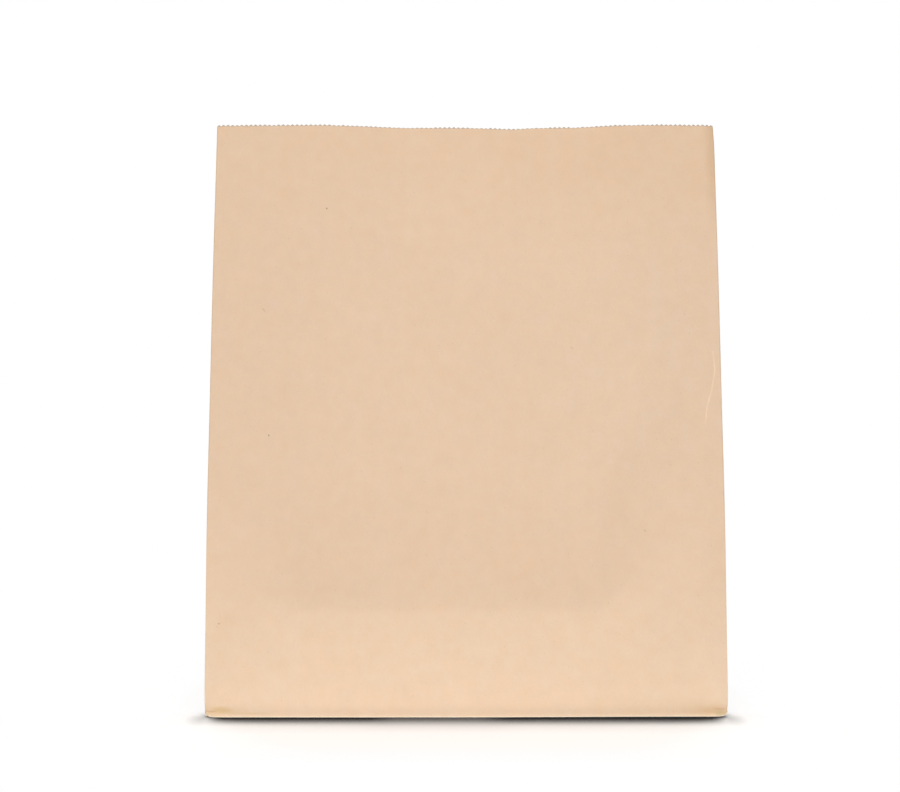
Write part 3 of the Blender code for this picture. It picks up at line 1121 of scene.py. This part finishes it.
        mouth = graph.math("GREATER_THAN", graph.attribute("mouth", "FLOAT"), 0.99)
        inputs = {"Mesh": saved["Geometry"], "Selection": mouth}
        points = graph.add("GeometryNodeMeshToPoints", inputs, mode="EDGES").outputs[0]
        axes = {"primary_axis": "X", "secondary_axis": "Y"}
        inputs = {"Primary Axis": saved["Along"], "Secondary Axis": saved["Rise"]}
        turn = graph.add("FunctionNodeAxesToRotation", inputs, **axes).outputs[0]
        size = graph.point(graph.measure("LENGTH", saved["Along"]), graph.part(saved["Depth"], "X"), 1.0)
        inputs = {"Points": points, "Instance": self.tooth(graph), "Rotation": turn, "Scale": size}
        stood = graph.add("GeometryNodeInstanceOnPoints", inputs).outputs[0]
        real = graph.add("GeometryNodeRealizeInstances", {"Geometry": stood}).outputs[0]
        inputs = {"Geometry": real, "Name": PAPER_MAP, "Value": saved["Mapped"]}
        kinds = {"data_type": "FLOAT2", "domain": "CORNER"}
        marked = graph.add("GeometryNodeStoreNamedAttribute", inputs, **kinds).outputs[0]
        both = graph.add("GeometryNodeJoinGeometry")
        plain = graph.add("GeometryNodeRemoveAttribute", {"Geometry": sheet, "Name": "rise"}).outputs[0]
        graph.feed(both.inputs[0], marked)
        graph.feed(both.inputs[0], plain)
        inputs = {"Geometry": both.outputs[0], "Distance": self.weld}
        return graph.add("GeometryNodeMergeByDistance", inputs).outputs[0]

    def apply(self, bag: bpy.types.Object, paper: bpy.types.Material) -> None:
        """Add the tree to the sheet as a modifier and set its inputs.

        Args:
            bag: The sheet's object.
            paper: The material that the tree sets.
        """
        tree = self.tree()
        values = {**self.sizes, "Paper": paper}
        modifier = bag.modifiers.new("Toothed mouth", "NODES")
        modifier.node_group = tree
        for item in tree.interface.items_tree:
            if item.in_out == "INPUT" and item.name in values:
                modifier[item.identifier] = values[item.name]


@dataclass
class PaperBag:
    """The bag's folded sheet: its walls, its bottom, its toothed mouth and its thickness.

    near_fold is how far the closest columns are from each side fold. rim_rows and lip_rows are the v of
    the rows on the bottom's rim and round the pressed lip.
    """

    folds: FoldMap
    mouth: ToothedMouth = field(default_factory=ToothedMouth)
    finish: KraftFinish = field(default_factory=KraftFinish)
    face_teeth: int = 108
    half_gusset_teeth: int = 22
    near_fold: tuple[float, ...] = (0.5 * MM, 1.2 * MM, 2.0 * MM)
    rim_rows: tuple[float, ...] = (-3.6 * MM, -2.4 * MM, -1.6 * MM, -1.0 * MM, -0.5 * MM)
    lip_rows: tuple[float, ...] = (0.9 * MM, 1.6 * MM, 3.6 * MM, 4.4 * MM)
    upper_rows: int = 72
    bottom_lap: float = 25 * MM
    free_reach: float = 34 * MM
    map_base: float = 140 * MM
    crease_row: float = 1.4 * MM
    free_start: float = 4 * MM
    sharp_angle: float = math.radians(55)

    @property
    def tooth_root(self) -> float:
        """The v of the mouth's cut between the teeth."""
        return self.folds.face_height - self.mouth.tooth_depth

    def fold_steps(self) -> list[float]:
        """Places from a side fold to a gusset's centre crease, closer together near both.

        Returns:
            Their distances from the side fold, in order.
        """
        half, count = self.folds.half_gusset, self.half_gusset_teeth
        even = [half * i / count for i in range(count + 1)]
        near_centre = [half - step for step in self.near_fold[:2]]
        return sorted({*even, *self.near_fold, *self.lip_rows, *near_centre})

    def columns(self) -> tuple[np.ndarray, np.ndarray]:
        """The sheet's upright lines.

        Returns:
            Their u in order, with the last one closing the tube, and whether each is the side of a tooth.
        """
        folds = self.folds
        width, gusset, half = folds.face_width, folds.gusset_width, folds.half_gusset
        face = {width * i / self.face_teeth for i in range(self.face_teeth + 1)}
        fine = {*self.near_fold, *(width - step for step in self.near_fold)}
        lap = folds.seam_place
        seam = {lap, lap + folds.paper, lap + folds.seam_lap, lap + folds.seam_lap + folds.seam_fade}
        gusset_teeth = {half * i / self.half_gusset_teeth for i in range(2 * self.half_gusset_teeth + 1)}
        gusset_all = {*self.fold_steps(), *(gusset - step for step in self.fold_steps())}
        places: dict[float, bool] = {}
        for start, teeth, extra in (
            (folds.folds[0], face, fine),
            (folds.folds[1], gusset_teeth, gusset_all),
            (folds.folds[2], face, fine | seam),
            (folds.folds[3], gusset_teeth, gusset_all),
        ):
            for place in extra:
                places.setdefault(round(start + place, DIGITS), False)
            for place in teeth:
                places[round(start + place, DIGITS)] = True
        u = np.array(sorted(places))
        return u, np.array([places[key] for key in sorted(places)])

    def rows(self) -> np.ndarray:
        """The sheet's level lines, from the rim of the bottom to the roots of the teeth.

        Returns:
            Their v in order.
        """
        half = self.folds.half_gusset
        upper = np.linspace(half, self.tooth_root, self.upper_rows + 1)[1:]
        return np.array([*self.rim_rows, *self.fold_steps(), half + self.crease_row, *upper])

    def sheet_faces(
        self, u: np.ndarray, sides: np.ndarray, v: np.ndarray
    ) -> Iterator[tuple[list[int], list]]:
        """The wall's faces, quads but for the triangles along the slanting creases.

        Args:
            u: The columns, with the last one the same as the first.
            sides: Whether each column is the side of a tooth, which the top row keeps to.
            v: The rows.

        Yields:
            Each face's point numbers, anticlockwise seen from outside, and the (u, v) of each.
        """
        count = len(u) - 1
        half, folds = self.folds.half_gusset, self.folds.folds

        def corner(i: int, j: int) -> tuple[int, tuple[float, float]]:
            """The number and the (u, v) of the point in column i and row j."""
            return j * count + i % count, (u[i], v[j])

        def rising(i: int) -> int:
            """Which way the slanting crease runs in the strip after column i.

            Args:
                i: The column.

            Returns:
                1 on the near half of a gusset, -1 on its far half and 0 on a face.
            """
            for start in (folds[1], folds[3]):
                if start <= u[i] + CLOSE and u[i + 1] <= start + 2 * half + CLOSE:
                    return 1 if u[i + 1] <= start + half + CLOSE else -1
            return 0

        slopes = [rising(i) for i in range(count)]
        near = [min(abs(u[i] - f) for f in folds) for i in range(count + 1)]
        top = len(v) - 1
        for j in range(top - 1):
            for i in range(count):
                a, b, c, d = corner(i, j), corner(i + 1, j), corner(i + 1, j + 1), corner(i, j + 1)
                low = near[i] if slopes[i] > 0 else near[i + 1]
                if slopes[i] and 0 <= v[j] < half - CLOSE and abs(low - v[j]) < CLOSE:
                    split = ((a, b, c), (a, c, d)) if slopes[i] > 0 else ((a, b, d), (b, c, d))
                    yield from (tuple(zip(*face)) for face in split)
                else:
                    yield tuple(zip(a, b, c, d))
        kept = [i for i in range(count + 1) if sides[i]]
        for start, end in zip(kept, kept[1:]):
            below = [corner(i, top - 1) for i in range(start, end + 1)]
            yield tuple(zip(*below, corner(end, top), corner(start, top)))

    def bottom(self, u: np.ndarray) -> tuple[list[Vector], list[list[int]]]:
        """The folded bottom inside its rim: two end triangles, the inner flap and the outer flap.

        Args:
            u: The columns, whose points on the lowest row are the rim.

        Returns:
            The extra points, and faces over them and the rim, with the extra points numbered from -1 down.
        """
        folds, half_lap = self.folds, self.bottom_lap / 2
        layer = folds.paper
        apex = folds.half_width - folds.half_gusset
        extra: list[Vector] = []
        for side in (1, -1):
            extra += [
                Vector((side * apex, 0, 0)),
                Vector((side * (apex + layer), layer, layer)),
                Vector((side * (apex + 3 * layer), 0, 2 * layer)),
                Vector((side * (apex - half_lap), half_lap, 0)),
                Vector((side * (apex - half_lap + layer), half_lap + layer, layer)),
            ]
        places = [int(np.argmin(np.abs(u - fold))) for fold in folds.folds]
        front, right, back, left = (list(range(a, b + 1)) for a, b in zip(places, places[1:]))
        left[-1] = 0
        outer_r, inner_r, end_r, outer_tip_r, inner_tip_r = (-1, -2, -3, -4, -5)
        outer_l, inner_l, end_l, outer_tip_l, inner_tip_l = (-6, -7, -8, -9, -10)
        faces = [[end_r, *reversed(right)], [end_l, *reversed(left)]]
        faces += [[outer_r, end_r, right[0]], [end_r, inner_r, right[-1]]]
        faces += [[end_l, outer_l, left[-1]], [inner_l, end_l, left[0]]]
        faces += [[inner_r, end_r, outer_r], [outer_l, end_l, inner_l]]
        faces += [[outer_tip_r, inner_tip_r, inner_r, outer_r], [outer_l, inner_l, inner_tip_l, outer_tip_l]]
        faces += [[outer_tip_l, inner_tip_l, inner_tip_r, outer_tip_r]]
        faces += [[outer_l, outer_tip_l, outer_tip_r, outer_r, *reversed(front)]]
        faces += [[inner_r, inner_tip_r, inner_tip_l, inner_l, *reversed(back)]]
        return extra, faces

    def free_share(self, u: np.ndarray, v: np.ndarray) -> np.ndarray:
        """How freely each place can ripple.

        Args:
            u: Places round the tube.
            v: Places up the tube.

        Returns:
            0 on the long folds and at the bottom, up to 1 well away from them.
        """
        lines = (*self.folds.folds, *self.folds.centres)
        away = np.min([np.abs(u - line) for line in lines], axis=0)
        return smooth_step(away / self.free_reach) * smooth_step((v - self.free_start) / self.free_reach)

    def sheet(self) -> bpy.types.Object:
        """Make the bag's single skin, with the paper map and the attributes that the tree reads.

        Returns:
            The skin's object.
        """
        u, sides = self.columns()
        v = self.rows()
        count, top = len(u) - 1, len(v) - 1
        grid_u, grid_v = np.meshgrid(u[:-1], v)
        points = self.folds.place(grid_u, grid_v)
        extra, bottom_faces = self.bottom(u)
        wall_count = count * len(v)
        faces: list[Sequence[int]] = []
        mapped: list[tuple[float, float]] = []
        for numbers, places in self.sheet_faces(u, sides, v):
            faces.append(numbers)
            mapped += places
        vertices = [tuple(point) for point in points.reshape(-1, 3)] + [tuple(point) for point in extra]
        for face in bottom_faces:
            numbers = [wall_count - 1 - i if i < 0 else i for i in face]
            faces.append(numbers)
            mapped += [self.bottom_place(vertices[i]) for i in numbers]
        data = bpy.data.meshes.new("paper_bag")
        data.from_pydata(vertices, [], faces)
        layer = data.uv_layers.new(name=PAPER_MAP)
        flat = (np.array(mapped) + (0.0, self.map_base)) / self.folds.girth
        layer.data.foreach_set("uv", flat.astype(np.float32).ravel())
        self.store(data, "free", self.free_share(grid_u, grid_v).ravel(), len(extra))
        at_mouth = (np.arange(len(v))[:, None] == top).repeat(count, axis=1)
        self.store(data, "mouth", at_mouth.ravel(), len(extra))
        step = self.folds.place(grid_u, grid_v + MM) - points
        rise = step / np.linalg.norm(step, axis=-1, keepdims=True)
        self.store(data, "rise", rise.reshape(-1, 3), len(extra))
        made = bpy.data.objects.new("paper_bag_sheet", data)
        bpy.context.scene.collection.objects.link(made)
        self.drop_loose(made)
        return made

    def bottom_place(self, point: Sequence[float]) -> tuple[float, float]:
        """Where a point of the bottom lies on the paper map, carried on from the front face."""
        return point[0] + self.folds.half_width, -(point[1] + self.folds.half_gusset)

    @staticmethod
    def store(data: bpy.types.Mesh, name: str, values: np.ndarray, padding: int) -> None:
        """Store a number or a vector on each point of the walls, and zeros on those of the bottom.

        Args:
            data: The mesh.
            name: The attribute's name.
            values: A number or a vector for each of the walls' points.
            padding: How many points the bottom adds.
        """
        values = np.asarray(values, dtype=np.float32)
        kind, key = ("FLOAT", "value") if values.ndim == 1 else ("FLOAT_VECTOR", "vector")
        filled = np.concatenate([values, np.zeros((padding, *values.shape[1:]), dtype=np.float32)])
        data.attributes.new(name, kind, "POINT").data.foreach_set(key, filled.ravel())

    @staticmethod
    def drop_loose(made: bpy.types.Object) -> None:
        """Delete the points that no face uses: those of the top row between the sides of the teeth.

        Args:
            made: The object whose mesh is cleaned.
        """
        mesh = bmesh.new()
        mesh.from_mesh(made.data)
        bmesh.ops.delete(mesh, geom=[point for point in mesh.verts if not point.link_faces], context="VERTS")
        mesh.to_mesh(made.data)
        mesh.free()

    def build(self) -> bpy.types.Object:
        """Make the finished bag.

        Returns:
            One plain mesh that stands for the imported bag.
        """
        paper = self.finish.material("kraft paper", self.folds, self.map_base)
        draft = self.sheet()
        self.mouth.apply(draft, paper)
        wall = draft.modifiers.new("Paper thickness", "SOLIDIFY")
        wall.thickness = self.folds.paper
        wall.offset = -1
        wall.use_quality_normals = True
        depsgraph = bpy.context.evaluated_depsgraph_get()
        data = bpy.data.meshes.new_from_object(draft.evaluated_get(depsgraph), depsgraph=depsgraph)
        bpy.data.objects.remove(draft)
        data.name = "paper_bag"
        for name in ("free", "mouth"):
            if name in data.attributes:
                data.attributes.remove(data.attributes[name])
        data.set_sharp_from_angle(angle=self.sharp_angle)
        bag = bpy.data.objects.new("paper_bag", data)
        bpy.context.scene.collection.objects.link(bag)
        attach(bag, BODY)
        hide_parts(NODE)
        return bag


@dataclass(frozen=True)
class FloorFinish:
    """The matt floor, which the camera sees as white with a painted contact shadow of the bag on it.

    Tones are shares of the light that is sent back. A reach of two lengths is the places between which a
    change happens, counted outwards from the bag's outline on the floor. But near_reach is counted from
    the origin, outer_reach and middle_reach from the middle, and corner_reach is the corner shade's size.
    """

    half_width: float
    half_depth: float

    # How pale the floor is to the light that it sends back to the bag, near it and far away
    near_shade: float = 0.72
    far_shade: float = 0.30
    near_reach: tuple[float, float] = (180 * MM, 280 * MM)

    # The painted shadow's dark core and pale tail, by how open the floor is to the sky
    shadow_reach: float = 50 * MM
    shadow_samples: int = 48
    shadow_tone: float = 0.015
    core_tone: float = 0.84
    core_open: tuple[float, float] = (0.58, 0.92)
    tail_rise: float = 0.12
    tail_open: tuple[float, float] = (0.90, 1.0)

    # The painted shadow's strength beside the bag, past its ends, in front of its ends and near its middle,
    # and its darker corners
    side_contact: float = 0.50
    side_reach: tuple[float, float] = (-25 * MM, 3 * MM)
    end_contact: float = 0.10
    end_reach: tuple[float, float] = (-12 * MM, 12 * MM)
    middle: float = -17 * MM
    outer_fade: float = 0.25
    outer_reach: tuple[float, float] = (25 * MM, 55 * MM)
    end_fade: float = 0.35
    end_fade_reach: tuple[float, float] = (-90 * MM, 0.0)
    fading_reach: tuple[float, float] = (10 * MM, 27 * MM)
    middle_ease: float = 0.08
    middle_reach: tuple[float, float] = (22 * MM, 45 * MM)
    corner_tone: tuple[float, float] = (0.56, 0.96)
    corner_reach: tuple[float, float] = (11 * MM, 24 * MM)

    # How far the floor is mixed into plain white
    side_white: float = 0.88
    side_white_reach: tuple[float, float] = (-20 * MM, 0.0)
    wide_white: float = 0.96
    wide_reach: tuple[float, float] = (10 * MM, 24 * MM)
    white_reach: tuple[float, float] = (50 * MM, 120 * MM)

    @staticmethod
    def past(edge: float, reach: tuple[float, float]) -> tuple[float, float]:
        """Count a reach from an edge of the bag's outline."""
        return edge + reach[0], edge + reach[1]

    def painted_contact_shadow(self, graph: Graph, place: object) -> bpy.types.NodeSocket:
        """Add the floor's tone as the camera sees it: a painted shadow, dark along the bag's edges and pale
        away from them.

        Args:
            graph: The material's nodes.
            place: The place on the floor.

        Returns:
            The tone.
        """
        x = graph.part(place, "X")
        across = graph.math("ABSOLUTE", x)
        depth = graph.math("ABSOLUTE", graph.part(place, "Y"))
        off_middle = graph.gap(x, self.middle)
        inputs = {"Distance": self.shadow_reach}
        opening = graph.add("ShaderNodeAmbientOcclusion", inputs, samples=self.shadow_samples).outputs["AO"]
        core = graph.ramp(opening, *self.core_open, self.shadow_tone - 1, self.core_tone - 1)
        tail = graph.math("MULTIPLY", graph.ramp(opening, *self.tail_open), self.tail_rise)

        strength = graph.ramp(depth, *self.past(self.half_depth, self.side_reach), self.side_contact, 1.0)
        ends = graph.ramp(across, *self.past(self.half_width, self.end_reach), 1.0, self.end_contact)
        strength = graph.math("MINIMUM", strength, ends)
        outer = graph.ramp(off_middle, *self.outer_reach, 0.0, -self.outer_fade)
        end = graph.ramp(across, *self.past(self.half_width, self.end_fade_reach), 0.0, -self.end_fade)
        fading = graph.ramp(depth, *self.past(self.half_depth, self.fading_reach))
        strength = graph.shaded(strength, graph.math("ADD", outer, end), fading)
        eased = graph.ramp(off_middle, *self.middle_reach, 1 - self.middle_ease, 1.0)
        strength = graph.math("MULTIPLY", strength, eased)
        painted_contact_shadow = graph.math("MULTIPLY_ADD", graph.math("ADD", core, tail), strength, 1.0)

        # Painted shadow, darker still at the bag's corners
        outline = (self.half_width, self.half_depth, 0.0)
        from_corner = graph.vector("SUBTRACT", graph.vector("ABSOLUTE", place), outline)
        reach = graph.measure("LENGTH", graph.vector("DIVIDE", from_corner, (*self.corner_reach, 1.0)))
        tone, far_tone = self.corner_tone
        corner = graph.math("MULTIPLY_ADD", reach, far_tone - tone, tone)
        return graph.math("MINIMUM", painted_contact_shadow, corner)

    def whiteness(self, graph: Graph, place: object) -> bpy.types.NodeSocket:
        """Add how far the floor is mixed into plain white: beside the bag, and well away from it.

        Args:
            graph: The material's nodes.
            place: The place on the floor.

        Returns:
            The share of white.
        """
        outline = (self.half_width, self.half_depth, 1.0)
        outside = graph.vector("SUBTRACT", graph.vector("ABSOLUTE", place), outline)
        outside = graph.vector("MAXIMUM", outside, (0.0, 0.0, 0.0))
        depth = graph.math("ABSOLUTE", graph.part(place, "Y"))
        edge = self.past(self.half_depth, self.side_white_reach)
        beside = graph.ramp(depth, *edge, self.side_white, 0.0)
        wide = graph.ramp(graph.part(outside, "X"), *self.wide_reach, 0.0, self.wide_white)
        clear = graph.ramp(graph.measure("LENGTH", outside), *self.white_reach)
        return graph.math("MAXIMUM", graph.math("MAXIMUM", beside, wide), clear)

    def material(self, name: str) -> bpy.types.Material:
        """Make the floor's material.

        Args:
            name: The material's name.

        Returns:
            The material.
        """
        made = bpy.data.materials.new(name)
        made.use_nodes = True
        made.node_tree.nodes.clear()
        graph = Graph(made.node_tree)
        seen = graph.seen()
        place = graph.add("ShaderNodeTexCoord").outputs["Object"]
        away = graph.measure("LENGTH", place)
        shade = graph.grey(graph.ramp(away, *self.near_reach, self.near_shade, self.far_shade))
        tone = graph.blend(seen, shade, graph.grey(self.painted_contact_shadow(graph, place)))
        lit = graph.add("ShaderNodeBsdfDiffuse", {"Color": tone}).outputs[0]
        white = graph.add("ShaderNodeEmission", {"Strength": 1.0}).outputs[0]
        share = graph.math("MULTIPLY", seen, self.whiteness(graph, place))
        mixed = graph.add("ShaderNodeMixShader", {0: share, 1: lit, 2: white}).outputs[0]
        graph.add("ShaderNodeOutputMaterial", {"Surface": mixed})
        return made


@dataclass(frozen=True)
class Softbox:
    """A rectangular lamp: where it hangs, what it faces, its width and height, and its power in watts."""

    name: str
    place: tuple[float, float, float]
    aim: tuple[float, float, float]
    width: float
    height: float
    power: float

    def build(self) -> bpy.types.Object:
        """Make the lamp, which the camera doesn't see.

        Returns:
            The lamp.
        """
        light = bpy.data.lights.new(self.name, "AREA")
        light.shape = "RECTANGLE"
        light.size, light.size_y = self.width, self.height
        light.energy = self.power
        made = bpy.data.objects.new(self.name, light)
        made.location = self.place
        made.visible_camera = False
        facing = Vector(self.aim) - Vector(self.place)
        made.rotation_euler = facing.to_track_quat("-Z", "Y").to_euler()
        bpy.context.scene.collection.objects.link(made)
        return made


@dataclass
class Studio:
    """The plain pale floor, the soft light and the camera at the photograph's angle."""

    front_y: float
    floor_finish: FloorFinish
    camera_distance: float = 0.900
    camera_side: float = -0.0099
    camera_height: float = 0.190
    focal_length: float = 58.96
    sensor_width: float = 36.0
    shift_up: float = 0.0117
    floor_size: float = 12.0
    floor_gap: float = 0.2 * MM
    sky: float = 0.32
    softboxes: tuple[Softbox, ...] = (
        Softbox("top softbox", (0.0, -2.00, 4.40), (0.0, -0.05, 0.10), 2.6, 2.0, 140.0),
        Softbox("left front softbox", (-0.70, -1.20, 0.20), (0.0, -0.06, 0.12), 0.50, 0.30, 3.5),
        Softbox("right front softbox", (0.70, -1.20, 0.20), (0.0, -0.06, 0.12), 0.50, 0.30, 3.1),
        Softbox("left back softbox", (-1.00, 1.60, 0.50), (0.0, 0.05, 0.15), 1.00, 0.60, 14.0),
        Softbox("right back softbox", (1.00, 1.60, 0.50), (0.0, 0.05, 0.15), 1.00, 0.60, 14.0),
    )

    def camera(self) -> None:
        """Make the camera, level in front of the bag."""
        data = bpy.data.cameras.new("camera")
        data.lens = self.focal_length
        data.sensor_width = self.sensor_width
        data.shift_y = self.shift_up
        made = bpy.data.objects.new("camera", data)
        made.location = (self.camera_side, self.front_y - self.camera_distance, self.camera_height)
        made.rotation_euler = (math.pi / 2, 0.0, 0.0)
        bpy.context.scene.collection.objects.link(made)
        bpy.context.scene.camera = made

    def world(self) -> None:
        """Light the scene evenly from all round, and show the camera plain white."""
        world = bpy.data.worlds.new("studio")
        bpy.context.scene.world = world
        world.use_nodes = True
        graph = Graph(world.node_tree)
        world.node_tree.nodes.clear()
        lamp = graph.add("ShaderNodeBackground", {"Color": (1, 1, 1, 1), "Strength": self.sky})
        white = graph.add("ShaderNodeBackground", {"Color": (1, 1, 1, 1), "Strength": 1.0})
        inputs = {0: graph.seen(), 1: lamp.outputs[0], 2: white.outputs[0]}
        mixed = graph.add("ShaderNodeMixShader", inputs)
        graph.add("ShaderNodeOutputWorld", {"Surface": mixed.outputs[0]})

    def floor(self) -> None:
        """Make the floor, a large square just under the bag."""
        half = self.floor_size / 2
        data = bpy.data.meshes.new("floor")
        corners = [(-half, -half), (half, -half), (half, half), (-half, half)]
        data.from_pydata([(x, y, -self.floor_gap) for x, y in corners], [], [(0, 1, 2, 3)])
        data.materials.append(self.floor_finish.material("floor"))
        made = bpy.data.objects.new("floor", data)
        bpy.context.scene.collection.objects.link(made)

    def build(self) -> None:
        """Make the whole studio."""
        bpy.context.scene.view_settings.view_transform = "Standard"
        self.camera()
        self.world()
        self.floor()
        for softbox in self.softboxes:
            softbox.build()


def main() -> None:
    """Build the studio and the bag."""
    logging.basicConfig(level=logging.INFO, format="%(name)s: %(message)s")
    low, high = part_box(NODE)
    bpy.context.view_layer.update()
    folds = FoldMap(face_width=high.x - low.x, gusset_width=-2 * low.y)
    finish = FloorFinish(half_width=high.x, half_depth=-low.y)
    Studio(front_y=low.y, floor_finish=finish).build()
    LOG.info("studio built")
    bag = PaperBag(folds).build()
    LOG.info("%s: %d faces", bag.name, len(bag.data.polygons))


if __name__ == "__main__":
    main()
